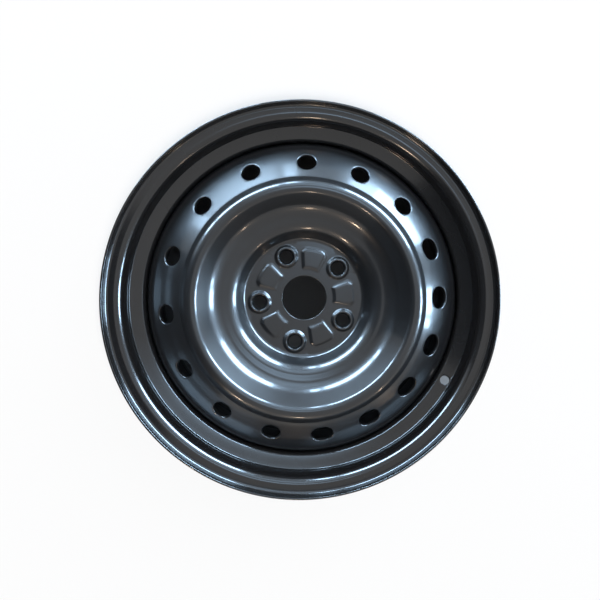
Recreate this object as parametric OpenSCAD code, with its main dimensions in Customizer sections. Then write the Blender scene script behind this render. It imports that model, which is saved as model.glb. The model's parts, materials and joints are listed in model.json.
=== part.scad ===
// Pressed steel car wheel, 17 x 7 inch, five studs, with an uneven ring of vents.
// It lies flat on its inboard flange with the street side up. The wheel's axis is the Z axis,
// z = 0 is the plane of the inboard lip, and the valve hole lies on +X.

/* [Rim] */
// Nominal rim diameter, where the bead seats meet the flanges
rim_d = 436.6; // [410:0.1:480]
// Width between the two flanges
rim_w = 177.8; // [165:0.1:200]
// Sheet thickness of the rim
rim_t = 2.6; // [2:0.1:3.2]
// Height of the flanges above the nominal diameter
flange_h = 17.3; // [15.5:0.1:20]
// Axial width of each flange, from its tyre face to the lip
flange_w = 12.7; // [11:0.1:16]
// Radius of the flange's curl on the tyre side
flange_curl = 9.5; // [8:0.1:10.5]
// Radius of the corner between flange and bead seat on the tyre side
seat_corner = 6.5; // [4:0.1:8]
// Width of each bead seat
seat_w = 16.5; // [14:0.1:20]
// Taper of the bead seats, in degrees
seat_taper = 5; // [3:0.5:6]
// Height of the hump that keeps the bead on its seat
hump_h = 0.8; // [0.5:0.1:1.2]
// Width from the end of the bead seat to the top of the hump
hump_w = 7; // [3.5:0.1:8]
// Depth of the well below the nominal diameter
well_depth = 17.8; // [16.5:0.1:21]
// Slope of the street side shelf between hump and well, in degrees
slope_tilt = 25; // [18:1:32]
// Radius of the well's corner at the foot of the slope, on the tyre side
slope_foot = 4; // [2:0.5:6]
// Axial length of the inboard ramp out of the well
ramp_w = 18; // [14:1:24]
// Rise of the inboard ramp above the well
ramp_rise = 11.5; // [9:0.1:13]
// Taper of the long inboard ledge, as the rise over its whole length
ledge_rise = 1.5; // [0.5:0.1:3]
// Corner radius at both ends of the inboard ramp
ramp_corner = 15; // [8:1:20]
// Width from the top of the inboard hump to the end of the ledge
hump_fall = 9; // [7:0.5:12]

/* [Valve hole] */
// Diameter of the valve hole
valve_hole_d = 11.3; // [8.5:0.1:12]

/* [Disc] */
// Sheet thickness of the disc
disc_t = 4; // [3:0.1:5]
// Offset of the mounting face from the rim's mid plane, towards the street
wheel_offset = 48; // [40:1:52]
// Radius of the flat hub face
hub_face_r = 75.4; // [73:0.1:82]
// Height of the step around the hub face
step_h = 17; // [12:0.5:20]
// Slope of the step, in degrees
step_tilt = 52; // [42:1:58]
// Slope of the bowl's floor, in degrees
floor_tilt = 10; // [5:1:14]
// Slope of the bowl's wall, in degrees
wall_tilt = 50; // [45:0.5:58]
// Height of the crown above the hub face
dish_depth = 44.9; // [40:0.1:48]
// Distance of the crown's outer edge from the well
crown_inset = 58.4; // [53:0.1:64]
// Width of the crown between its two corners
crown_w = 9.4; // [7:0.1:12]
// Height of the crown above the start of the vent band
crown_step = 8; // [5:0.1:10]
// Slope of the crown's outer side, in degrees
crown_tilt = 42; // [38:1:56]
// Slope of the vent band, in degrees
band_tilt = 30; // [24:1:34]
// Radius of the shoulder between vent band and skirt
shoulder_r = 28; // [16:1:30]
// Length of the skirt below the corner of the shoulder
skirt_h = 40; // [36:0.5:48]
// Gap between the skirt and the rim's well
skirt_fit = 0.1; // [0.05:0.05:0.3]

/* [Disc corners] */
// Corner radius at the foot of the step
step_foot_r = 6; // [2:1:8]
// Corner radius at the top of the step
step_top_r = 22; // [10:1:30]
// Corner radius between the bowl's floor and wall
bowl_r = 30; // [20:1:40]
// Corner radius of the crown's inner edge
crown_in_corner = 9; // [5:1:12]
// Corner radius of the crown's outer edge
crown_out_corner = 12; // [4:1:14]
// Corner radius between the crown and the vent band
band_foot_r = 6; // [3:1:10]

/* [Hub] */
// Diameter of the centre bore
bore_d = 56.1; // [50:0.1:66.1]
// Chamfer at the street edge of the centre bore
bore_chamfer = 0.8; // [0.4:0.1:1.5]
// Diameter of the stud circle
lug_circle_d = 114.3; // [108:0.1:118]
// Number of stud holes
lug_count = 5; // [4:1:5]
// Diameter of the stud holes
lug_hole_d = 15.5; // [13:0.1:16]
// Diameter of the nut seat at its rim
nut_seat_d = 20; // [18:0.1:21.5]
// Full angle of the nut seat's cone, in degrees
nut_seat_angle = 60; // [55:1:90]
// Height of the raised nut seats above the hub face
lug_boss_h = 2.8; // [2:0.1:3.5]
// Diameter of the raised nut seats at the top
lug_boss_top_d = 24; // [23:0.1:26]
// Diameter of the raised nut seats at the foot
lug_boss_foot_d = 30; // [28:0.1:32]
// Depth of the relief behind each nut seat
lug_relief = 1.2; // [0.6:0.1:1.6]
// Height of the raised pads between the stud holes
pad_h = 1.8; // [1:0.1:2.4]
// Inner radius of the pads
pad_in_r = 37.6; // [35:0.1:42]
// Outer radius of the pads
pad_out_r = 63.8; // [60:0.1:67]
// Gap between a pad and the foot of the nearest nut seat
pad_gap = 5; // [3:0.1:7]
// Slope of the pads' sides, in degrees from upright
pad_draft = 45; // [30:1:55]

/* [Vents] */
// Number of vents
vent_count = 16; // [12:1:16]
// Diameter of a round vent
vent_d = 23.3; // [18:0.1:25]
// Distance of the vent circle from the well
vent_inset = 30; // [27:0.5:32]
// How far the vents crowd together beside the valve, in degrees
vent_crowding = 5; // [0:0.5:6]
// Number of wide vents on each side of the valve
wide_vents = 3; // [0:1:4]
// Extra width of the wide vents along the circle
wide_extra = 4.2; // [2:0.1:6]

/* [Welds] */
// Number of weld beads
weld_count = 8; // [4:1:10]
// Angle that each weld bead spans, in degrees
weld_span = 24; // [14:1:30]
// Leg length of the weld beads
weld_leg = 3.8; // [3:0.1:5]
// Bulge of the beads' open face
weld_bulge = 0.7; // [0.3:0.1:1.2]
// Straight length of the well past the weld beads
well_margin = 2; // [1:0.5:6]

/* [Hidden] */
$fn = 144;

// Largest turn of one straight step along a rounded corner, in degrees
arc_step = 8;
// Share of a straight stretch that one of its two corners may use
corner_share = 0.49;
// Overlap that lets a cut run clear of the surface it starts from
over = 1;

// Heights on the wheel's axis
street_lip_z = rim_w + 2 * flange_w;
street_flange_z = street_lip_z - flange_w;
mid_z = flange_w + rim_w / 2;
mount_z = mid_z + wheel_offset;
hub_z = mount_z + disc_t;

// Radii of the rim on its tyre side
seat_r = rim_d / 2;
lip_r = seat_r + flange_h;
seat_end_r = seat_r - seat_w * tan(seat_taper);
hump_r = seat_end_r + hump_h;
well_r = seat_r - well_depth;
well_inside_r = well_r - rim_t;

// The street side slope runs from the hump down to the well
hump_reach = seat_w + hump_w;
hump_z = street_flange_z - hump_reach;
slope_foot_z = hump_z - (hump_r - well_r) * tan(slope_tilt);

// Corners of the disc's street face, from the hub outwards
disc_r = well_inside_r - skirt_fit;
step_top = [hub_face_r + step_h / tan(step_tilt), hub_z + step_h];
crown_z = hub_z + dish_depth;
crown_out_r = disc_r - crown_inset;
crown_in_r = crown_out_r - crown_w;
bowl_corner_r = step_top.x
    + ((crown_in_r - step_top.x) * tan(wall_tilt) - (crown_z - step_top.y)) / (tan(wall_tilt) - tan(floor_tilt));
bowl_corner_z = step_top.y + (bowl_corner_r - step_top.x) * tan(floor_tilt);
band_start = [crown_out_r + crown_step / tan(crown_tilt), crown_z - crown_step];
shoulder_z = band_start.y - (disc_r - band_start.x) * tan(band_tilt);
skirt_end_z = shoulder_z - skirt_h;

// The well is long enough for the skirt and its welds
well_end_z = skirt_end_z - weld_leg - well_margin;
ledge_start_z = well_end_z - ramp_w;
ledge_r = well_r + ramp_rise + ledge_rise;

// The vents sit on the slope of the vent band
vent_r = disc_r - vent_inset;
vent_z = band_start.y - (vent_r - band_start.x) * tan(band_tilt);

// Nut seats and pads
lug_r = lug_circle_d / 2;
nut_seat_depth = (nut_seat_d - lug_hole_d) / 2 / tan(nut_seat_angle / 2);
pad_half_angle = 180 / lug_count - asin((lug_boss_foot_d / 2 + pad_gap) / lug_r);
pad_mid_r = (pad_in_r + pad_out_r) / 2;
// The pads' corners are rounded by a cone around each pad's middle
pad_corner_r = norm([pad_mid_r * sin(pad_half_angle), (pad_out_r - pad_in_r) / 2]) * 0.9;

// Direction from one point of an outline to the next
function heading(a, b) = let (d = [b.x - a.x, b.y - a.y]) d / norm(d);
// The direction turned by an angle
function turned(u, angle) = [u.x * cos(angle) - u.y * sin(angle), u.x * sin(angle) + u.y * cos(angle)];
// The direction turned to the left by a quarter
function left_of(u) = [-u.y, u.x];
// Angle from direction u to direction v, positive to the left
function turn_angle(u, v) = atan2(u.x * v.y - u.y * v.x, u * v);

// One corner [radius, height, corner radius] as points, each with its direction to the left
function corner_points(before, corner, after) =
    let (
        u = heading(before, corner),
        v = heading(corner, after),
        turn = turn_angle(u, v),
        reach = corner_share * min(norm([corner.x - before.x, corner.y - before.y]),
                                   norm([after.x - corner.x, after.y - corner.y])),
        radius = min(corner.z, reach / tan(abs(turn) / 2)),
        start = [corner.x, corner.y] - u * radius * tan(abs(turn) / 2),
        steps = ceil(abs(turn) / arc_step)
    )
    [for (i = [0:steps])
        let (side = left_of(turned(u, turn * i / steps)))
        [start + sign(turn) * radius * (left_of(u) - side), side]];

// A whole outline with its corners rounded
function rounded_line(corners) =
    let (last = len(corners) - 1)
    concat(
        [[[corners[0].x, corners[0].y], left_of(heading(corners[0], corners[1]))]],
        [for (i = [1:last - 1]) each corner_points(corners[i - 1], corners[i], corners[i + 1])],
        [[[corners[last].x, corners[last].y], left_of(heading(corners[last - 1], corners[last]))]]
    );

// Sheet metal section: a rounded line and the same line one thickness to its right
module sheet_section(corners, thickness) {
    line = rounded_line(corners);
    far_side = [for (i = [len(line) - 1:-1:0]) line[i][0] - line[i][1] * thickness];
    polygon(concat([for (p = line) p[0]], far_side));
}

// Tyre side of the rim, from the street lip to the inboard lip
rim_line = [
    [lip_r, street_lip_z, 0],
    [lip_r, street_flange_z, flange_curl],
    [seat_r, street_flange_z, seat_corner],
    [seat_end_r, street_flange_z - seat_w, hump_reach / 2],
    [hump_r, hump_z, hump_w],
    [well_r, slope_foot_z, slope_foot],
    [well_r, well_end_z, ramp_corner],
    [well_r + ramp_rise, ledge_start_z, ramp_corner],
    [ledge_r, flange_w + hump_reach + hump_fall, ramp_corner],
    [hump_r, flange_w + hump_reach, hump_w],
    [seat_end_r, flange_w + seat_w, hump_reach / 2],
    [seat_r, flange_w, seat_corner],
    [lip_r, flange_w, flange_curl],
    [lip_r, 0, 0]
];

// Street face of the disc, from the axis to the end of the skirt
disc_line = [
    [bore_d / 4, hub_z, 0],
    [hub_face_r, hub_z, step_foot_r],
    [step_top.x, step_top.y, step_top_r],
    [bowl_corner_r, bowl_corner_z, bowl_r],
    [crown_in_r, crown_z, crown_in_corner],
    [crown_out_r, crown_z, crown_out_corner],
    [band_start.x, band_start.y, band_foot_r],
    [disc_r, shoulder_z, shoulder_r],
    [disc_r, skirt_end_z, 0]
];

// Hole for the valve, square to the middle of the street side slope
module valve_hole() {
    translate([(hump_r + well_r) / 2, 0, (hump_z + slope_foot_z) / 2])
        rotate([0, -slope_tilt, 0])
            cylinder(d = valve_hole_d, h = 4 * rim_t, center = true);
}

module rim() {
    color([0.12, 0.12, 0.13])
        difference() {
            rotate_extrude() sheet_section(rim_line, rim_t);
            valve_hole();
        }
}

// Angle of one vent: evenly spaced steps, drawn towards the valve
function vent_angle(i) = let (even = 360 / vent_count * (i + 0.5)) even - vent_crowding * sin(even);

// Cutter for one vent, round or drawn out along the circle
module vent_cutter(extra) {
    depth = 4 * disc_t;
    for (side = [-1, 1])
        translate([0, side * extra / 2, 0])
            cylinder(d = vent_d, h = depth, center = true);
    if (extra > 0)
        cube([vent_d, extra, depth], center = true);
}

module vents() {
    for (i = [0:vent_count - 1])
        rotate([0, 0, vent_angle(i)])
            translate([vent_r, 0, vent_z])
                rotate([0, band_tilt, 0])
                    vent_cutter(min(i, vent_count - 1 - i) < wide_vents ? wide_extra : 0);
}

// Places its children at each stud hole, on the hub face
module at_lugs() {
    for (i = [0:lug_count - 1])
        rotate([0, 0, 360 / lug_count * i])
            translate([lug_r, 0, hub_z])
                children();
}

// Raised ring around a stud hole, still without the hole
module lug_boss() {
    translate([0, 0, -disc_t / 2])
        cylinder(d = lug_boss_foot_d, h = disc_t / 2);
    cylinder(d1 = lug_boss_foot_d, d2 = lug_boss_top_d, h = lug_boss_h);
}

// Stud hole with the cone for the nut, and the relief behind it
module lug_cutter() {
    cone_run = tan(nut_seat_angle / 2);
    translate([0, 0, -disc_t - over])
        cylinder(d = lug_hole_d, h = disc_t + lug_boss_h + 2 * over);
    translate([0, 0, lug_boss_h - nut_seat_depth])
        cylinder(d1 = lug_hole_d, d2 = nut_seat_d + 2 * over * cone_run, h = nut_seat_depth + over);
    translate([0, 0, -disc_t - over])
        cylinder(d1 = lug_boss_foot_d + 2 * over, d2 = lug_boss_top_d - 2 * lug_relief,
                 h = lug_relief + over);
}

// Places its children on the hub face, midway between the stud holes
module at_pads() {
    for (i = [0:lug_count - 1])
        rotate([0, 0, 360 / lug_count * (i + 0.5)])
            translate([0, 0, hub_z])
                children();
}

// One side of a pad, leaning inwards
module pad_side() {
    rotate([0, 0, pad_half_angle])
        rotate([pad_draft, 0, 0])
            translate([0, -hub_face_r, -hub_face_r / 2])
                cube(hub_face_r);
}

// A pad with leaning sides between two heights. Its nominal outline is at height 0.
module pad_form(low, high) {
    lean = tan(pad_draft);
    intersection() {
        rotate_extrude()
            polygon([
                [pad_in_r + low * lean, low],
                [pad_out_r - low * lean, low],
                [pad_out_r - high * lean, high],
                [pad_in_r + high * lean, high]
            ]);
        pad_side();
        mirror([0, 1, 0]) pad_side();
        translate([pad_mid_r, 0, low])
            cylinder(r1 = pad_corner_r - low * lean, r2 = pad_corner_r - high * lean, h = high - low);
    }
}

module centre_bore() {
    translate([0, 0, mount_z - over])
        cylinder(d = bore_d, h = disc_t + 2 * over);
    translate([0, 0, hub_z - bore_chamfer])
        cylinder(d1 = bore_d, d2 = bore_d + 2 * (bore_chamfer + over), h = bore_chamfer + over);
}

module disc() {
    color([0.14, 0.15, 0.16])
        difference() {
            union() {
                rotate_extrude() sheet_section(disc_line, disc_t);
                at_lugs() lug_boss();
                at_pads() pad_form(-disc_t / 2, pad_h);
            }
            centre_bore();
            at_lugs() lug_cutter();
            at_pads() translate([0, 0, -disc_t]) pad_form(-over, pad_h);
            vents();
        }
}

// Section of one weld bead in the corner between the skirt's end and the well
module bead_section() {
    steps = 6;
    function face_point(s) = let (bulge = weld_bulge * sin(180 * s) / sqrt(2))
        [well_inside_r - weld_leg * (1 - s) - bulge, skirt_end_z - weld_leg * s - bulge];
    polygon(concat([[well_inside_r, skirt_end_z]], [for (i = [0:steps]) face_point(i / steps)]));
}

module weld_beads() {
    color([0.16, 0.16, 0.16])
        for (i = [0:weld_count - 1])
            rotate([0, 0, 360 / weld_count * i - weld_span / 2])
                rotate_extrude(angle = weld_span) bead_section();
}

rim();
disc();
weld_beads();
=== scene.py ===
# Black pressed steel car wheel, lying flat on its inboard flange with the street side up.
# Lengths are metres and angles are degrees. +X runs through the valve hole.
import json
import math

import bpy
from mathutils import Matrix, Vector


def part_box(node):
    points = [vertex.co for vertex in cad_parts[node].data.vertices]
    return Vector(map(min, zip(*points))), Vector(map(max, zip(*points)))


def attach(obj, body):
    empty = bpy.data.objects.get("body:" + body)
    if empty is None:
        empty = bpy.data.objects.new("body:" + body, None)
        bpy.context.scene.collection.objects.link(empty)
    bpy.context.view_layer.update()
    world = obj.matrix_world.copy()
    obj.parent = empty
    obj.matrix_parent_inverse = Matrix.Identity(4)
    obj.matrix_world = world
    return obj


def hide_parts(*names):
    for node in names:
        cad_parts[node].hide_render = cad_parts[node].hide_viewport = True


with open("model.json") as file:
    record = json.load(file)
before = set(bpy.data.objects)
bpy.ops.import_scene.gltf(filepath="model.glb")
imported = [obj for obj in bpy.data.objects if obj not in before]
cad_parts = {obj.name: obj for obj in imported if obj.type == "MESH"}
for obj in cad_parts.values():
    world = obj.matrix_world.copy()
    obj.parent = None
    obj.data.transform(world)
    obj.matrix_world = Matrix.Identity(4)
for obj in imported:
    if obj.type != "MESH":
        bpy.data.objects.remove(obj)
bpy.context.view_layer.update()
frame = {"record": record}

# Sizes read from the frame
MOUNTS = {mount["name"]: mount for mount in frame["record"]["mounts"]}
LIP_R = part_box("rim")[1][0]
STREET_LIP_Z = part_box("rim")[1][2]
MOUNT_Z = MOUNTS["mounting_face"]["pos_m"][2]
BORE_R = MOUNTS["centre_bore"]["dims"]["r_mm"] / 1000
LUG_R = MOUNTS["stud_holes"]["dims"]["pcd_mm"] / 2000
LUG_HOLE_R = MOUNTS["stud_holes"]["dims"]["hole_r_mm"] / 1000
LUG_COUNT = MOUNTS["stud_holes"]["dims"]["count"]
VALVE_HOLE_R = MOUNTS["valve_hole"]["dims"]["r_mm"] / 1000

# Rim section
RIM_T = 0.0026
SEAT_R = 0.2183
FLANGE_W = 0.0127
FLANGE_CURL = 0.0095
SEAT_CORNER = 0.0065
SEAT_W = 0.0165
SEAT_TAPER = 5
HUMP_H = 0.0008
HUMP_W = 0.007
WELL_DEPTH = 0.0178
SLOPE_TILT = 25
SLOPE_FOOT = 0.004
RAMP_W = 0.018
RAMP_RISE = 0.0115
LEDGE_RISE = 0.0015
RAMP_CORNER = 0.015
HUMP_FALL = 0.009
LIP_EDGE = 0.0009
VALVE_EDGE = 0.0004

# Disc section
DISC_T = 0.004
HUB_FACE_R = 0.0754
STEP_H = 0.017
STEP_TILT = 52
FLOOR_TILT = 10
WALL_TILT = 50
DISH_DEPTH = 0.0449
CROWN_INSET = 0.0584
CROWN_W = 0.0094
CROWN_STEP = 0.008
CROWN_TILT = 42
BAND_TILT = 30
SHOULDER_R = 0.028
SKIRT_H = 0.040
SKIRT_FIT = 0.0001
STEP_FOOT_R = 0.006
STEP_TOP_R = 0.022
BOWL_R = 0.030
CROWN_IN_CORNER = 0.009
CROWN_OUT_CORNER = 0.012
BAND_FOOT_R = 0.006
DISC_EDGE = 0.0007

# Nut seats and pads
NUT_SEAT_R = 0.010
NUT_SEAT_ANGLE = 60
LUG_BOSS_H = 0.0028
LUG_BOSS_TOP_R = 0.012
LUG_BOSS_FOOT_R = 0.015
LUG_RELIEF = 0.0012
LUG_FOOT_CORNER = 0.002
LUG_FOOT_MARGIN = 0.0014
LUG_TOP_CORNER = 0.0012
NUT_SEAT_TOP_CORNER = 0.0007
NUT_SEAT_FOOT_CORNER = 0.0006
LUG_WALL_MARGIN = 0.0012
LUG_BACK_EDGE = 0.0005
LUG_BACK_CORNER = 0.001
LUG_BACK_MARGIN = 0.001
PAD_H = 0.0018
PAD_IN_R = 0.0376
PAD_OUT_R = 0.0638
PAD_GAP = 0.005
PAD_SHOULDER = 0.0026
PAD_CORNER_SHARE = 0.9

# Vents
VENT_COUNT = 16
VENT_R = 0.01165
VENT_INSET = 0.030
VENT_CROWDING = 5
WIDE_VENTS = 3
WIDE_EXTRA = 0.0042
VENT_EDGE = 0.0009
VENT_BACK_EDGE = 0.0003

# Welds: ripples are a share of the bulge, and a bead's ends a share of its leg
WELD_COUNT = 8
WELD_SPAN = 24
WELD_LEG = 0.0038
WELD_BULGE = 0.0007
WELD_RIPPLES = 26
WELD_RIPPLE_SHARE = 0.35
WELD_END_SHARE = 0.05
WELD_END_POWER = 14
WELL_MARGIN = 0.002

# Fineness of the meshes
COLUMNS = 300
ARC_STEP = 4
CORNER_SHARE = 0.49
EDGE_ANGLES = (0, 22.5, 45, 67.5, 90)
RIM_SPACING = 0.005
HUB_SPACING = 0.00125
DISC_SPACING = 0.0028
LUG_SPACING = 0.01
SPACING_SLACK = 0.01
WELD_STEPS = 60
WELD_STEPS_AROUND = 10

# Half sizes of the patch that is rebuilt around each kind of hole, along the section and around the axis
VALVE_PATCH = (0.0068, 0.0085)
LUG_PATCH = (0.0168, 0.0172)
VENT_PATCH = (0.0155, 0.0155)


def sin(angle):
    return math.sin(math.radians(angle))


def cos(angle):
    return math.cos(math.radians(angle))


def tan(angle):
    return math.tan(math.radians(angle))


def smooth_step(value):
    """0 up to 0, 1 from 1 on, and a soft rise between."""
    value = min(1, max(0, value))
    return value * value * (3 - 2 * value)


# Radii and heights worked out from the sizes above
HUB_Z = MOUNT_Z + DISC_T
STREET_FLANGE_Z = STREET_LIP_Z - FLANGE_W
SEAT_END_R = SEAT_R - SEAT_W * tan(SEAT_TAPER)
HUMP_R = SEAT_END_R + HUMP_H
WELL_R = SEAT_R - WELL_DEPTH
WELL_INSIDE_R = WELL_R - RIM_T
HUMP_REACH = SEAT_W + HUMP_W
HUMP_Z = STREET_FLANGE_Z - HUMP_REACH
SLOPE_FOOT_Z = HUMP_Z - (HUMP_R - WELL_R) * tan(SLOPE_TILT)
DISC_R = WELL_INSIDE_R - SKIRT_FIT
STEP_TOP = (HUB_FACE_R + STEP_H / tan(STEP_TILT), HUB_Z + STEP_H)
CROWN_Z = HUB_Z + DISH_DEPTH
CROWN_OUT_R = DISC_R - CROWN_INSET
CROWN_IN_R = CROWN_OUT_R - CROWN_W
WALL_DROP = (CROWN_IN_R - STEP_TOP[0]) * tan(WALL_TILT) - (CROWN_Z - STEP_TOP[1])
BOWL_CORNER_R = STEP_TOP[0] + WALL_DROP / (tan(WALL_TILT) - tan(FLOOR_TILT))
BOWL_CORNER_Z = STEP_TOP[1] + (BOWL_CORNER_R - STEP_TOP[0]) * tan(FLOOR_TILT)
BAND_START = (CROWN_OUT_R + CROWN_STEP / tan(CROWN_TILT), CROWN_Z - CROWN_STEP)
SHOULDER_Z = BAND_START[1] - (DISC_R - BAND_START[0]) * tan(BAND_TILT)
SKIRT_END_Z = SHOULDER_Z - SKIRT_H
WELL_END_Z = SKIRT_END_Z - WELD_LEG - WELL_MARGIN
LEDGE_R = WELL_R + RAMP_RISE + LEDGE_RISE
VENT_CIRCLE_R = DISC_R - VENT_INSET

# Corners of the two sheets: radius, height, corner radius
RIM_LINE = [
    (LIP_R, STREET_LIP_Z, 0),
    (LIP_R, STREET_FLANGE_Z, FLANGE_CURL),
    (SEAT_R, STREET_FLANGE_Z, SEAT_CORNER),
    (SEAT_END_R, STREET_FLANGE_Z - SEAT_W, HUMP_REACH / 2),
    (HUMP_R, HUMP_Z, HUMP_W),
    (WELL_R, SLOPE_FOOT_Z, SLOPE_FOOT),
    (WELL_R, WELL_END_Z, RAMP_CORNER),
    (WELL_R + RAMP_RISE, WELL_END_Z - RAMP_W, RAMP_CORNER),
    (LEDGE_R, FLANGE_W + HUMP_REACH + HUMP_FALL, RAMP_CORNER),
    (HUMP_R, FLANGE_W + HUMP_REACH, HUMP_W),
    (SEAT_END_R, FLANGE_W + SEAT_W, HUMP_REACH / 2),
    (SEAT_R, FLANGE_W, SEAT_CORNER),
    (LIP_R, FLANGE_W, FLANGE_CURL),
    (LIP_R, 0, 0),
]
DISC_LINE = [
    (BORE_R, HUB_Z, 0),
    (HUB_FACE_R, HUB_Z, STEP_FOOT_R),
    (STEP_TOP[0], STEP_TOP[1], STEP_TOP_R),
    (BOWL_CORNER_R, BOWL_CORNER_Z, BOWL_R),
    (CROWN_IN_R, CROWN_Z, CROWN_IN_CORNER),
    (CROWN_OUT_R, CROWN_Z, CROWN_OUT_CORNER),
    (BAND_START[0], BAND_START[1], BAND_FOOT_R),
    (DISC_R, SHOULDER_Z, SHOULDER_R),
    (DISC_R, SKIRT_END_Z, 0),
]


# Outlines in the plane of radius and height

def left_of(direction):
    return Vector((-direction.y, direction.x))


def turned(direction, angle):
    return Vector((direction.x * cos(angle) - direction.y * sin(angle),
                   direction.x * sin(angle) + direction.y * cos(angle)))


def corner_points(before, corner, after, radius):
    """One corner as points, each with its direction to the left."""
    u = (corner - before).normalized()
    v = (after - corner).normalized()
    turn = math.degrees(math.atan2(u.x * v.y - u.y * v.x, u.dot(v)))
    reach = CORNER_SHARE * min((corner - before).length, (after - corner).length)
    half_tan = tan(abs(turn) / 2)
    radius = min(radius, reach / half_tan)
    start = corner - u * radius * half_tan
    steps = math.ceil(abs(turn) / ARC_STEP)
    points = []
    for i in range(steps + 1):
        side = left_of(turned(u, turn * i / steps))
        points.append((start + (left_of(u) - side) * math.copysign(radius, turn), side))
    return points


def rounded_line(corners, spacing):
    """The whole outline, its straights split so that no step is longer than spacing(radius)."""
    places = [Vector(corner[:2]) for corner in corners]
    line = [(places[0], left_of((places[1] - places[0]).normalized()))]
    for i in range(1, len(places) - 1):
        line += corner_points(places[i - 1], places[i], places[i + 1], corners[i][2])
    line.append((places[-1], left_of((places[-1] - places[-2]).normalized())))
    split = [line[0]]
    for (a, _), (b, side) in zip(line, line[1:]):
        parts = max(1, math.ceil((b - a).length / spacing(a.x) - SPACING_SLACK))
        split += [(a.lerp(b, i / parts), side) for i in range(1, parts)]
        split.append((b, side))
    return split


def end_cap(place, side, outwards, thickness, edge):
    """The rounded end of a sheet, from its left face to its right face."""
    points = []
    for centre, start, stop in (
        (place - (side + outwards) * edge, side, outwards),
        (place - side * (thickness - edge) - outwards * edge, outwards, -side),
    ):
        points += [centre + (start * cos(angle) + stop * sin(angle)) * edge for angle in EDGE_ANGLES]
    return points


# Meshes

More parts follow.
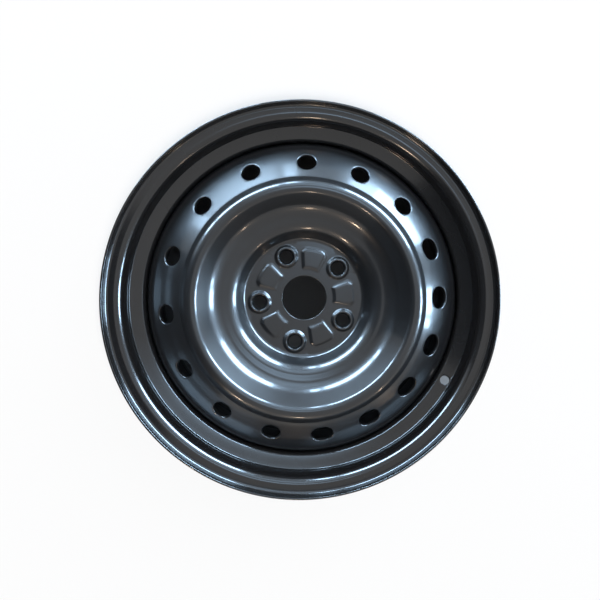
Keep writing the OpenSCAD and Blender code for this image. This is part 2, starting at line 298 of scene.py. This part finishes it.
class Sheet:
    """A sheet of metal turned about the wheel's axis: rows along its section, columns around it."""

    def __init__(self, corners, thickness, edge, spacing):
        self.line = rounded_line(corners, spacing)
        self.thickness = thickness
        inner = self.line[1:-1]
        first, last = self.line[0], self.line[-1]
        end_way = (last[0] - self.line[-2][0]).normalized()
        start_way = (first[0] - self.line[1][0]).normalized()
        section = [point for point, _ in inner]
        section += end_cap(last[0], last[1], end_way, thickness, edge)
        section += [point - side * thickness for point, side in reversed(inner)]
        section += end_cap(first[0] - first[1] * thickness, -first[1], start_way, thickness, edge)
        self.section = section
        self.inner_count = len(inner)
        self.cut_cells = set()
        self.faces = []
        self.places = []
        for point in section:
            for column in range(COLUMNS):
                angle = 360 * column / COLUMNS
                self.places.append(Vector((point.x * cos(angle), point.x * sin(angle), point.y)))

    def index(self, row, column):
        return (row % len(self.section)) * COLUMNS + column % COLUMNS

    def far_row(self, row):
        """The row on the sheet's other face, across from a row of its left face."""
        end_cap_rows = 2 * len(EDGE_ANGLES)
        return 2 * self.inner_count + end_cap_rows - 1 - row

    def raise_rows(self, low, high, relief):
        """Raises the sheet between two radii by relief(radius, angle), on both faces."""
        for row in range(self.inner_count):
            point, side = self.line[row + 1]
            if low < point.x < high:
                for column in range(COLUMNS):
                    angle = 360 * column / COLUMNS
                    lift = relief(point.x, angle)
                    if lift:
                        out = Vector((side.x * cos(angle), side.x * sin(angle), side.y)) * lift
                        self.places[self.index(row, column)] += out
                        self.places[self.index(self.far_row(row), column)] += out

    def height_at(self, rows, radius):
        """Height of the face that has these rows, at a radius. Past its ends the face goes on straight."""
        points = sorted((self.section[row].x, self.section[row].y) for row in rows)
        steps = list(zip(points, points[1:]))
        (r0, z0), (r1, z1) = next((step for step in steps if radius <= step[1][0]), steps[-1])
        return z0 + (z1 - z0) * (radius - r0) / (r1 - r0)

    def nearest_row(self, radius):
        """The row of the left face nearest to a radius. The rim has the same radius again on its inboard
        side, so only rows near the street side count."""
        street_rows = [row for row in range(self.inner_count) if self.line[row + 1][0].y > MOUNT_Z - DISC_T]
        return min(street_rows, key=lambda row: abs(self.line[row + 1][0].x - radius))

    def rows_around(self, middle, reach):
        """The first rows before and after the middle one that are at least reach away from it."""
        point = self.line[middle + 1][0]
        low = high = middle
        while (self.line[low + 1][0] - point).length < reach:
            low -= 1
        while (self.line[high + 1][0] - point).length < reach:
            high += 1
        return low, high

    def cut_hole(self, radius, angle, reach, outline, near_rings, far_rings, blends=3):
        """Cuts a hole square to the sheet. outline(direction) is its radius, reach the half sizes of the
        patch that is rebuilt around it, along the section and around the axis. The rings are pairs of
        (distance out of the outline, depth below the left face), from the left face to the right one."""
        middle = self.nearest_row(radius)
        side = self.line[middle + 1][1]
        way = Vector((side.y, -side.x))
        low, high = self.rows_around(middle, reach[0])
        column_reach = math.degrees(reach[1] / radius) * COLUMNS / 360
        left = round(angle * COLUMNS / 360 - column_reach)
        right = round(angle * COLUMNS / 360 + column_reach)

        # The patch's border as (row, column), once around
        border = [(row, left) for row in range(low, high)]
        border += [(high, column) for column in range(left, right)]
        border += [(row, right) for row in range(high, low, -1)]
        border += [(low, column) for column in range(right, left, -1)]

        # Inside the border the sheet's own faces are left out, on both sides
        for row in range(low, high):
            for column in range(left, right):
                self.cut_cells.add((row, column % COLUMNS))
                self.cut_cells.add((self.far_row(row) - 1, column % COLUMNS))

        near_rows = range(low, high + 1)
        far_rows = [self.far_row(row) for row in near_rows]
        axis = Vector((side.x * cos(angle), side.x * sin(angle), side.y))

        def flat(place):
            """A place as offsets along the section and around the axis."""
            distance = math.hypot(place.x, place.y)
            off = math.atan2(place.y, place.x) - math.radians(angle)
            return Vector(((distance * math.cos(off) - radius) / way.x, distance * math.sin(off)))

        def solid(offset, rows, depth):
            """The place at an offset, at a depth below the face that has these rows."""
            x = radius + offset.x * way.x
            distance = math.hypot(x, offset.y)
            around = math.atan2(offset.y, x) + math.radians(angle)
            height = self.height_at(rows, distance)
            return Vector((distance * math.cos(around), distance * math.sin(around), height)) - axis * depth

        near_edge = [self.index(row, column) for row, column in border]
        far_edge = [self.index(self.far_row(row), column) for row, column in border]
        flats = [flat(self.places[i]) for i in near_edge]
        directions = [math.degrees(math.atan2(offset.y, offset.x)) for offset in flats]
        rings = [near_edge]

        def add_ring(places):
            rings.append(range(len(self.places), len(self.places) + len(places)))
            self.places += places

        def ring_offsets(outset):
            """The outline moved out by outset, with a point towards each point of the border."""
            return [Vector((cos(turn), sin(turn))) * (outline(turn) + outset) for turn in directions]

        # From the border to the hole, through it, and out to the border of the far face
        first = ring_offsets(near_rings[0][0])
        for i in range(1, blends):
            add_ring([solid(a.lerp(b, i / blends), near_rows, 0) for a, b in zip(flats, first)])
        for outset, depth in near_rings + far_rings:
            add_ring([solid(offset, near_rows, depth) for offset in ring_offsets(outset)])
        last = [self.places[i] for i in rings[-1]]
        outer = [self.places[i] for i in far_edge]
        for i in range(1, blends):
            blend = []
            for a, b in zip(last, outer):
                place = a.lerp(b, i / blends)
                place.z = self.height_at(far_rows, math.hypot(place.x, place.y))
                blend.append(place)
            add_ring(blend)
        rings.append(far_edge)
        for ring, inner in zip(rings, rings[1:]):
            for i in range(len(border)):
                j = (i + 1) % len(border)
                self.faces.append((ring[i], ring[j], inner[j], inner[i]))

    def build(self, name):
        for row in range(len(self.section)):
            for column in range(COLUMNS):
                if (row, column) not in self.cut_cells:
                    self.faces.append((self.index(row, column), self.index(row + 1, column),
                                       self.index(row + 1, column + 1), self.index(row, column + 1)))
        return mesh_piece(name, self.places, self.faces)


def mesh_piece(name, places, faces):
    """A smooth shaded object from places and faces, without the points that no face uses."""
    used = sorted({i for face in faces for i in face})
    renumber = {old: new for new, old in enumerate(used)}
    mesh = bpy.data.meshes.new(name)
    mesh.from_pydata([places[i] for i in used], [], [[renumber[i] for i in face] for face in faces])
    mesh.validate()
    mesh.shade_smooth()
    piece = bpy.data.objects.new(name, mesh)
    bpy.context.scene.collection.objects.link(piece)
    return piece


def rounded_edge(edge, depth, upwards):
    """Rings of a hole's rounded edge: at depth 0 and going down, or at full depth and going out."""
    steps = [(edge * (1 - sin(angle)), edge * (1 - cos(angle))) for angle in EDGE_ANGLES]
    if upwards:
        return [(outset, depth - drop) for outset, drop in reversed(steps)]
    return [(outset, depth + drop) for outset, drop in steps]


# The rim

def build_rim():
    sheet = Sheet(RIM_LINE, RIM_T, LIP_EDGE, lambda radius: RIM_SPACING)
    sheet.cut_hole(
        radius=(HUMP_R + WELL_R) / 2, angle=0, reach=VALVE_PATCH,
        outline=lambda direction: VALVE_HOLE_R,
        near_rings=rounded_edge(VALVE_EDGE, 0, upwards=False),
        far_rings=rounded_edge(VALVE_EDGE, RIM_T, upwards=True),
        blends=2,
    )
    return sheet.build("rim_sheet")


# The disc

def pad_relief(radius, angle):
    """Height of the raised pads between the stud holes."""
    lug_foot_angle = math.degrees(math.asin((LUG_BOSS_FOOT_R + PAD_GAP) / LUG_R))
    half_angle = 180 / LUG_COUNT - lug_foot_angle
    middle_r = (PAD_IN_R + PAD_OUT_R) / 2
    corner_r = math.hypot(middle_r * sin(half_angle), (PAD_OUT_R - PAD_IN_R) / 2) * PAD_CORNER_SHARE
    pitch = 360 / LUG_COUNT
    off = angle % pitch - pitch / 2
    x, y = radius * cos(off), radius * sin(off)
    inside = min(radius - PAD_IN_R, PAD_OUT_R - radius, radius * sin(half_angle - abs(off)),
                 corner_r - math.hypot(x - middle_r, y))
    return PAD_H * smooth_step((inside + PAD_SHOULDER / 2) / (PAD_H + PAD_SHOULDER))


def lug_rings():
    """Rings of one nut seat, on the street face and on the hub's face."""
    seat_depth = (NUT_SEAT_R - LUG_HOLE_R) / tan(NUT_SEAT_ANGLE / 2)
    street = rounded_line([
        (LUG_BOSS_FOOT_R + LUG_FOOT_MARGIN, 0, 0),
        (LUG_BOSS_FOOT_R, 0, LUG_FOOT_CORNER),
        (LUG_BOSS_TOP_R, LUG_BOSS_H, LUG_TOP_CORNER),
        (NUT_SEAT_R, LUG_BOSS_H, NUT_SEAT_TOP_CORNER),
        (LUG_HOLE_R, LUG_BOSS_H - seat_depth, NUT_SEAT_FOOT_CORNER),
        (LUG_HOLE_R, LUG_BOSS_H - seat_depth - LUG_WALL_MARGIN, 0),
    ], lambda radius: LUG_SPACING)
    hub_side = rounded_line([
        (LUG_HOLE_R, -DISC_T + LUG_RELIEF + LUG_WALL_MARGIN, 0),
        (LUG_HOLE_R, -DISC_T + LUG_RELIEF, LUG_BACK_EDGE),
        (LUG_BOSS_TOP_R - LUG_RELIEF, -DISC_T + LUG_RELIEF, LUG_BACK_CORNER),
        (LUG_BOSS_FOOT_R, -DISC_T, LUG_BACK_CORNER),
        (LUG_BOSS_FOOT_R + LUG_BACK_MARGIN, -DISC_T, 0),
    ], lambda radius: LUG_SPACING)
    # Every second point of each corner is enough on parts this small
    street = street[:1] + street[1:-1:2] + street[-1:]
    hub_side = hub_side[:1] + hub_side[1:-1:2] + hub_side[-1:]
    return [[(point.x - LUG_HOLE_R, -point.y) for point, _ in line] for line in (street, hub_side)]


def vent_outline(extra):
    """Radius of a vent that is drawn out around the axis, by direction."""
    half = extra / 2

    def outline(direction):
        across, along = abs(cos(direction)), abs(sin(direction))
        if across and VENT_R * along / across <= half:
            return VENT_R / across
        return half * along + math.sqrt(VENT_R ** 2 - (half * across) ** 2)

    return outline


def build_disc():
    sheet = Sheet(DISC_LINE, DISC_T, DISC_EDGE,
                  lambda radius: HUB_SPACING if radius < HUB_FACE_R else DISC_SPACING)
    sheet.raise_rows(PAD_IN_R - PAD_SHOULDER, PAD_OUT_R + PAD_SHOULDER, pad_relief)
    street, hub_side = lug_rings()
    for i in range(LUG_COUNT):
        sheet.cut_hole(
            radius=LUG_R, angle=360 / LUG_COUNT * i, reach=LUG_PATCH,
            outline=lambda direction: LUG_HOLE_R,
            near_rings=street, far_rings=hub_side, blends=2,
        )
    for i in range(VENT_COUNT):
        even = 360 / VENT_COUNT * (i + 0.5)
        extra = WIDE_EXTRA if min(i, VENT_COUNT - 1 - i) < WIDE_VENTS else 0
        sheet.cut_hole(
            radius=VENT_CIRCLE_R, angle=even - VENT_CROWDING * sin(even),
            reach=(VENT_PATCH[0], VENT_PATCH[1] + extra / 2),
            outline=vent_outline(extra),
            near_rings=rounded_edge(VENT_EDGE, 0, upwards=False),
            far_rings=rounded_edge(VENT_BACK_EDGE, DISC_T, upwards=True),
        )
    return sheet.build("disc_sheet")


# The weld beads

def build_welds():
    """Beads in the corner under the skirt's end, each tapered at both ends and rippled along its face."""
    places, faces = [], []
    for bead in range(WELD_COUNT):
        start = 360 / WELD_COUNT * bead - WELD_SPAN / 2
        rings = []
        for i in range(WELD_STEPS + 1):
            share = i / WELD_STEPS
            taper = math.sqrt(max(0, 1 - abs(2 * share - 1) ** WELD_END_POWER))
            leg = WELD_LEG * max(WELD_END_SHARE, taper)
            ripple = 1 + WELD_RIPPLE_SHARE * math.sin(2 * math.pi * WELD_RIPPLES * share + bead)
            angle = start + WELD_SPAN * share
            ring = [(WELL_INSIDE_R, SKIRT_END_Z)]
            for j in range(WELD_STEPS_AROUND + 1):
                along = j / WELD_STEPS_AROUND
                bulge = WELD_BULGE * taper * ripple * sin(180 * along) / math.sqrt(2)
                ring.append((WELL_INSIDE_R - leg * (1 - along) - bulge, SKIRT_END_Z - leg * along - bulge))
            rings.append(range(len(places), len(places) + len(ring)))
            places += [Vector((r * cos(angle), r * sin(angle), z)) for r, z in ring]
        for a, b in zip(rings, rings[1:]):
            for j in range(len(a)):
                k = (j + 1) % len(a)
                faces.append((a[j], a[k], b[k], b[j]))
        faces.append(tuple(reversed(rings[0])))
        faces.append(tuple(rings[-1]))
    return mesh_piece("weld_bead_runs", places, faces)


# Materials

# Grain of the paint: noise scales per metre, depths in metres, and the range of a noise that is used
NOISE_RANGE = (0.3, 0.7)
SHADE_SCALE = 14
GLOSS_SCALE = 45
PEEL_SCALE = 60
PEEL_DEPTH = 0.0006
SKIN_SCALE = 420
SKIN_DEPTH = 0.00008
PAINT_IOR = 1.5
COAT_WEIGHT = 0.5
COAT_ROUGHNESS = 0.11


class Nodes:
    """Short calls for building one material's node tree."""

    def __init__(self, name):
        self.material = bpy.data.materials.new(name)
        self.material.use_nodes = True
        self.tree = self.material.node_tree
        self.shader = self.tree.nodes["Principled BSDF"]
        self.surface = self.tree.nodes["Material Output"].inputs["Surface"]

    def add(self, kind, **inputs):
        node = self.tree.nodes.new(kind)
        for key, value in inputs.items():
            node.inputs[key.replace("_", " ")].default_value = value
        return node

    def link(self, source, target):
        self.tree.links.new(source, target)

    def noise(self, place, scale, detail):
        node = self.add("ShaderNodeTexNoise", Scale=scale, Detail=detail)
        self.link(place, node.inputs["Vector"])
        return node.outputs["Fac"]

    def ranged(self, value, low, high):
        """A noise spread between two values."""
        node = self.add("ShaderNodeMapRange", From_Min=NOISE_RANGE[0], From_Max=NOISE_RANGE[1],
                        To_Min=low, To_Max=high)
        self.link(value, node.inputs["Value"])
        return node.outputs["Result"]

    def bump(self, height, distance, strength, normal=None):
        node = self.add("ShaderNodeBump", Distance=distance, Strength=strength)
        self.link(height, node.inputs["Height"])
        if normal:
            self.link(normal, node.inputs["Normal"])
        return node.outputs["Normal"]


def black_paint(name, dark, light, gloss, sheen, peel):
    """Black dip paint: a clear skin over a duller ground, slight orange peel and uneven sheen. gloss is the
    ground's lowest and highest roughness."""
    nodes = Nodes(name)
    place = nodes.add("ShaderNodeTexCoord").outputs["Object"]
    shade = nodes.add("ShaderNodeMix")
    shade.data_type = "RGBA"
    # A Mix node's colours go in at sockets 6 and 7 and come out at 2
    shade.inputs[6].default_value = (*dark, 1)
    shade.inputs[7].default_value = (*light, 1)
    nodes.link(nodes.noise(place, SHADE_SCALE, detail=3), shade.inputs[0])
    nodes.link(shade.outputs[2], nodes.shader.inputs["Base Color"])
    roughness = nodes.ranged(nodes.noise(place, GLOSS_SCALE, detail=4), *gloss)
    nodes.link(roughness, nodes.shader.inputs["Roughness"])
    wave = nodes.bump(nodes.noise(place, PEEL_SCALE, detail=2), PEEL_DEPTH, peel)
    skin = nodes.bump(nodes.noise(place, SKIN_SCALE, detail=2), SKIN_DEPTH, peel, wave)
    nodes.link(skin, nodes.shader.inputs["Normal"])
    nodes.shader.inputs["IOR"].default_value = PAINT_IOR
    nodes.shader.inputs["Specular IOR Level"].default_value = sheen
    nodes.shader.inputs["Coat Weight"].default_value = COAT_WEIGHT
    nodes.shader.inputs["Coat Roughness"].default_value = COAT_ROUGHNESS
    return nodes.material


def dress(piece, material, node):
    piece.data.materials.append(material)
    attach(piece, "root")
    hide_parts(node)


rim_paint = black_paint("rim_paint", dark=(0.010, 0.010, 0.011), light=(0.015, 0.015, 0.016),
                        gloss=(0.15, 0.20), sheen=0.22, peel=0.06)
disc_paint = black_paint("disc_paint", dark=(0.008, 0.0085, 0.010), light=(0.012, 0.0125, 0.014),
                         gloss=(0.28, 0.33), sheen=0.26, peel=0.06)
weld_paint = black_paint("weld_paint", dark=(0.011, 0.011, 0.011), light=(0.018, 0.017, 0.016),
                         gloss=(0.30, 0.42), sheen=0.3, peel=0.5)
dress(build_rim(), rim_paint, "rim")
dress(build_disc(), disc_paint, "disc")
dress(build_welds(), weld_paint, "weld_beads")

# Camera: it looks almost straight down, from a point beside the wheel's axis.
# The picture's right is VALVE_TURN degrees around from the valve hole. LENS_PX is the focal length in pixels,
# the leans are slopes, and AIM_PX is how far right and up of the picture's middle the lens points.
VALVE_TURN = 30.5
PICTURE_SIZE = 600
SENSOR_MM = 36
LENS_PX = 459
CAMERA_RIGHT = -0.0082
CAMERA_UP = 0.0428
CAMERA_Z = 0.7415
LEAN_RIGHT = 0.0577
LEAN_DOWN = 0.0130
AIM_PX = (24.4, 29.7)

picture_right = Vector((cos(VALVE_TURN), sin(VALVE_TURN), 0))
picture_up = Vector((-sin(VALVE_TURN), cos(VALVE_TURN), 0))
camera_data = bpy.data.cameras.new("camera")
camera_data.sensor_width = SENSOR_MM
camera_data.lens = SENSOR_MM * LENS_PX / PICTURE_SIZE
camera_data.shift_x = -AIM_PX[0] / PICTURE_SIZE
camera_data.shift_y = -AIM_PX[1] / PICTURE_SIZE
camera = bpy.data.objects.new("camera", camera_data)
camera.location = picture_right * CAMERA_RIGHT + picture_up * CAMERA_UP + Vector((0, 0, CAMERA_Z))
camera_back = (Vector((0, 0, 1)) - picture_right * LEAN_RIGHT + picture_up * LEAN_DOWN).normalized()
camera_side = (picture_right + Vector((0, 0, LEAN_RIGHT))).normalized()
camera_top = camera_back.cross(camera_side)
camera.rotation_euler = Matrix((camera_side, camera_top, camera_back)).transposed().to_euler()
bpy.context.scene.collection.objects.link(camera)
bpy.context.scene.camera = camera

# Studio: panels on a large ball around the wheel, each between two picture angles and two elevations.
# Picture angles run clockwise from the picture's right. Fades are the shares of a panel over which its light
# falls away at both sides, at its foot and at its top, and distances are shares of STUDIO_R.
STUDIO_R = 5
PANEL_STEP_ACROSS = 4
PANEL_STEP_UP = 2
WHITE = (1, 1, 1, 1)
DAYLIGHT = (0.50, 0.74, 1.0)
LAMPLIGHT = (1.0, 0.74, 0.52)

WINDOW_STRENGTH = 80
WINDOW_FADES = (0, 0.3, 0.3)
WINDOWS = {
    "window_a": ((211, 218), (16, 36)),
    "window_b": ((220, 257), (18, 38)),
    "window_c": ((261, 267), (17, 34)),
    "window_d": ((293, 307), (15, 40)),
    "window_e": ((307, 338), (10, 40)),
    "window_f": ((359, 371), (7, 34)),
    "window_g": ((373, 377), (8, 26)),
}

# What the windows light: picture angles, elevations, strength, fades and distance
LIT_ROOM = {
    # The walls between and above the windows
    "bright_walls": ((200, 400), (3, 58), 1.0, (0.3, 0, 0.5), 1.2),
    # The patch of ceiling that the lower half of the bowl mirrors
    "lit_ceiling": ((230, 370), (74, 87), 8, (0.4, 0.2, 0.4), 1.4),
    # The soft light above the windows, where the walls meet the ceiling
    "lit_cornice": ((235, 355), (42, 66.5), 4.5, (0.3, 0.3, 0.3), 1.4),
}

# Lamps: picture angle, elevation and size in degrees
LAMP_STRENGTH = 120
LAMPS = {"lamp_a": (121, 29, 4), "lamp_b": (92, 24, 3), "lamp_c": (52, 16, 2)}

DARK_CORNER_SIDES = (128, 198)
DARK_CORNER_HEIGHTS = (-1, 78)
DARK_CORNER_DISTANCE = 1.3
DARK_CORNER_COLOR = (0.05, 0.055, 0.06, 1)
DARK_CORNER_ROUGHNESS = 0.9

# Soft lamp: its place is a picture angle and an elevation
KEY_SIZE = 2.4
KEY_WATTS = 60
KEY_COLOR = (0.92, 0.96, 1.0)
KEY_PLACE = (300, 50)
KEY_DISTANCE = 3.2

# Floor and world: the floor turns from a painted shadow in grey, under the wheel, to white between two
# distances from the wheel's axis
FLOOR_SHADOW_R = LIP_R + 0.045
FLOOR_WHITE_R = LIP_R + 0.1
FLOOR_SHADOW_GREY = 0.15
FLOOR_PALE = 0.8
FLOOR_GLOW = 0.9
FLOOR_ROUGHNESS = 0.8
FLOOR_HALF = 6
AMBIENT = 0.7


def studio_direction(picture_angle, elevation):
    """Direction of a light, by its angle clockwise from the picture's right and its elevation."""
    around = VALVE_TURN - picture_angle
    return Vector((cos(around) * cos(elevation), sin(around) * cos(elevation), sin(elevation)))


def stage_mesh(name, places, faces, material):
    mesh = bpy.data.meshes.new(name)
    mesh.from_pydata(places, [], faces)
    mesh.materials.append(material)
    thing = bpy.data.objects.new(name, mesh)
    bpy.context.scene.collection.objects.link(thing)
    return thing


def faded(place, low, high):
    """A share that is 1 in the middle and falls to 0 over low at one end and over high at the other."""
    rise = smooth_step(place / low) if low else 1
    fall = smooth_step((1 - place) / high) if high else 1
    return rise * fall


def studio_panel(name, sides, heights, material, fades=(0, 0, 0), distance=1):
    """A piece of a large ball around the wheel, that shows in reflections only."""
    side_fade, foot_fade, top_fade = fades
    steps_across = max(2, round((sides[1] - sides[0]) / PANEL_STEP_ACROSS))
    steps_up = max(2, round((heights[1] - heights[0]) / PANEL_STEP_UP))
    places, shares, faces = [], [], []
    for i in range(steps_across + 1):
        for j in range(steps_up + 1):
            across, up = i / steps_across, j / steps_up
            direction = studio_direction(sides[0] + (sides[1] - sides[0]) * across,
                                         heights[0] + (heights[1] - heights[0]) * up)
            places.append(direction * STUDIO_R * distance + Vector((0, 0, MOUNT_Z)))
            shares.append(faded(across, side_fade, side_fade) * faded(up, foot_fade, top_fade))
            if i and j:
                corner = len(places) - 1
                faces.append((corner, corner - 1, corner - steps_up - 2, corner - steps_up - 1))
    panel = stage_mesh(name, places, faces, material)
    attribute = panel.data.attributes.new("glow", "FLOAT", "POINT")
    attribute.data.foreach_set("value", shares)
    panel.visible_camera = False
    panel.visible_diffuse = False
    panel.visible_shadow = False


def combined(tree, operation, first, second):
    """The result of a Math node on two values, each a number or another node's output."""
    node = tree.nodes.new("ShaderNodeMath")
    node.operation = operation
    for value, socket in ((first, node.inputs[0]), (second, node.inputs[1])):
        if isinstance(value, bpy.types.NodeSocket):
            tree.links.new(value, socket)
        else:
            socket.default_value = value
    return node.outputs["Value"]


def light_material(name, color, strength):
    """Light of the given colour and radiance, times the panel's glow, on top of what is behind it."""
    nodes = Nodes(name)
    share = nodes.add("ShaderNodeAttribute")
    share.attribute_name = "glow"
    glow = nodes.add("ShaderNodeEmission", Color=(*color, 1))
    nodes.link(combined(nodes.tree, "MULTIPLY", share.outputs["Fac"], strength), glow.inputs["Strength"])
    both = nodes.add("ShaderNodeAddShader")
    nodes.link(glow.outputs["Emission"], both.inputs[0])
    nodes.link(nodes.add("ShaderNodeBsdfTransparent").outputs["BSDF"], both.inputs[1])
    nodes.link(both.outputs["Shader"], nodes.surface)
    return nodes.material


def windows():
    """Tall windows on one side of the room, with soft upper and lower edges."""
    daylight = light_material("daylight", DAYLIGHT, WINDOW_STRENGTH)
    for name, (sides, heights) in WINDOWS.items():
        studio_panel(name, sides, heights, daylight, WINDOW_FADES)


def lit_room():
    """The walls, the ceiling and the cornice between them, as the windows light them."""
    for name, (sides, heights, strength, fades, distance) in LIT_ROOM.items():
        studio_panel(name, sides, heights, light_material(name, DAYLIGHT, strength), fades, distance)


def lamps():
    """Small warm lamps on the far side of the room."""
    lamplight = light_material("lamplight", LAMPLIGHT, LAMP_STRENGTH)
    for name, (angle, height, size) in LAMPS.items():
        half = size / 2
        studio_panel(name, (angle - half, angle + half), (height - half, height + half), lamplight)


def dark_corner():
    """The dark side of the room, seen in reflections only."""
    nodes = Nodes("dark_corner")
    nodes.shader.inputs["Base Color"].default_value = DARK_CORNER_COLOR
    nodes.shader.inputs["Roughness"].default_value = DARK_CORNER_ROUGHNESS
    studio_panel("dark_corner", DARK_CORNER_SIDES, DARK_CORNER_HEIGHTS, nodes.material,
                 distance=DARK_CORNER_DISTANCE)


def soft_key():
    """A large soft lamp on the windows' side. It lights the scene plainly and isn't mirrored."""
    light = bpy.data.lights.new("soft_key", "AREA")
    light.shape = "DISK"
    light.size = KEY_SIZE
    light.energy = KEY_WATTS
    light.color = KEY_COLOR
    lamp = bpy.data.objects.new("soft_key", light)
    direction = studio_direction(*KEY_PLACE)
    lamp.location = direction * KEY_DISTANCE + Vector((0, 0, MOUNT_Z))
    lamp.rotation_euler = direction.to_track_quat("Z", "Y").to_euler()
    lamp.visible_camera = False
    lamp.visible_glossy = False
    bpy.context.scene.collection.objects.link(lamp)


def seen_or_mirrored(tree):
    """1 for rays that come from the camera, a reflection or glass, otherwise 0."""
    path = tree.nodes.new("ShaderNodeLightPath")
    total = path.outputs["Is Camera Ray"]
    for kind in ("Is Glossy Ray", "Is Transmission Ray"):
        total = combined(tree, "MAXIMUM", total, path.outputs[kind])
    return total


def pale_floor():
    """White floor with a painted shadow in grey under the wheel. Away from it the camera and reflections see
    it mostly at full white, so the wheel's shadow stays faint."""
    nodes = Nodes("floor")
    nodes.shader.inputs["Roughness"].default_value = FLOOR_ROUGHNESS
    length = nodes.add("ShaderNodeVectorMath")
    length.operation = "LENGTH"
    nodes.link(nodes.add("ShaderNodeTexCoord").outputs["Object"], length.inputs[0])

    def by_distance(near, far):
        """A value that goes from near to far between the floor's painted grey shadow and its white part."""
        node = nodes.add("ShaderNodeMapRange", From_Min=FLOOR_SHADOW_R, From_Max=FLOOR_WHITE_R,
                         To_Min=near, To_Max=far)
        node.interpolation_type = "SMOOTHSTEP"
        nodes.link(length.outputs["Value"], node.inputs["Value"])
        return node.outputs["Result"]

    # The grey under the wheel is a painted shadow in the floor's colour, which turns white further out
    nodes.link(by_distance(FLOOR_SHADOW_GREY, FLOOR_PALE), nodes.shader.inputs["Base Color"])
    glow = nodes.add("ShaderNodeEmission", Color=WHITE, Strength=1.0)
    blend = nodes.add("ShaderNodeMixShader")
    share = combined(nodes.tree, "MULTIPLY", by_distance(0.0, FLOOR_GLOW), seen_or_mirrored(nodes.tree))
    nodes.link(share, blend.inputs[0])
    nodes.link(nodes.shader.outputs["BSDF"], blend.inputs[1])
    nodes.link(glow.outputs["Emission"], blend.inputs[2])
    nodes.link(blend.outputs["Shader"], nodes.surface)
    corners = [(-FLOOR_HALF, -FLOOR_HALF, 0), (FLOOR_HALF, -FLOOR_HALF, 0),
               (FLOOR_HALF, FLOOR_HALF, 0), (-FLOOR_HALF, FLOOR_HALF, 0)]
    stage_mesh("floor", corners, [(0, 1, 2, 3)], nodes.material)


def white_world():
    """White where it is seen or mirrored, and the dimmer AMBIENT where it only lights things."""
    world = bpy.data.worlds.new("world")
    bpy.context.scene.world = world
    world.use_nodes = True
    tree = world.node_tree
    background = tree.nodes["Background"]
    background.inputs["Color"].default_value = WHITE
    level = tree.nodes.new("ShaderNodeMapRange")
    level.inputs["To Min"].default_value = AMBIENT
    level.inputs["To Max"].default_value = 1.0
    tree.links.new(seen_or_mirrored(tree), level.inputs["Value"])
    tree.links.new(level.outputs["Result"], background.inputs["Strength"])


windows()
lit_room()
lamps()
dark_corner()
soft_key()
pale_floor()
white_world()
bpy.context.scene.view_settings.view_transform = "Standard"
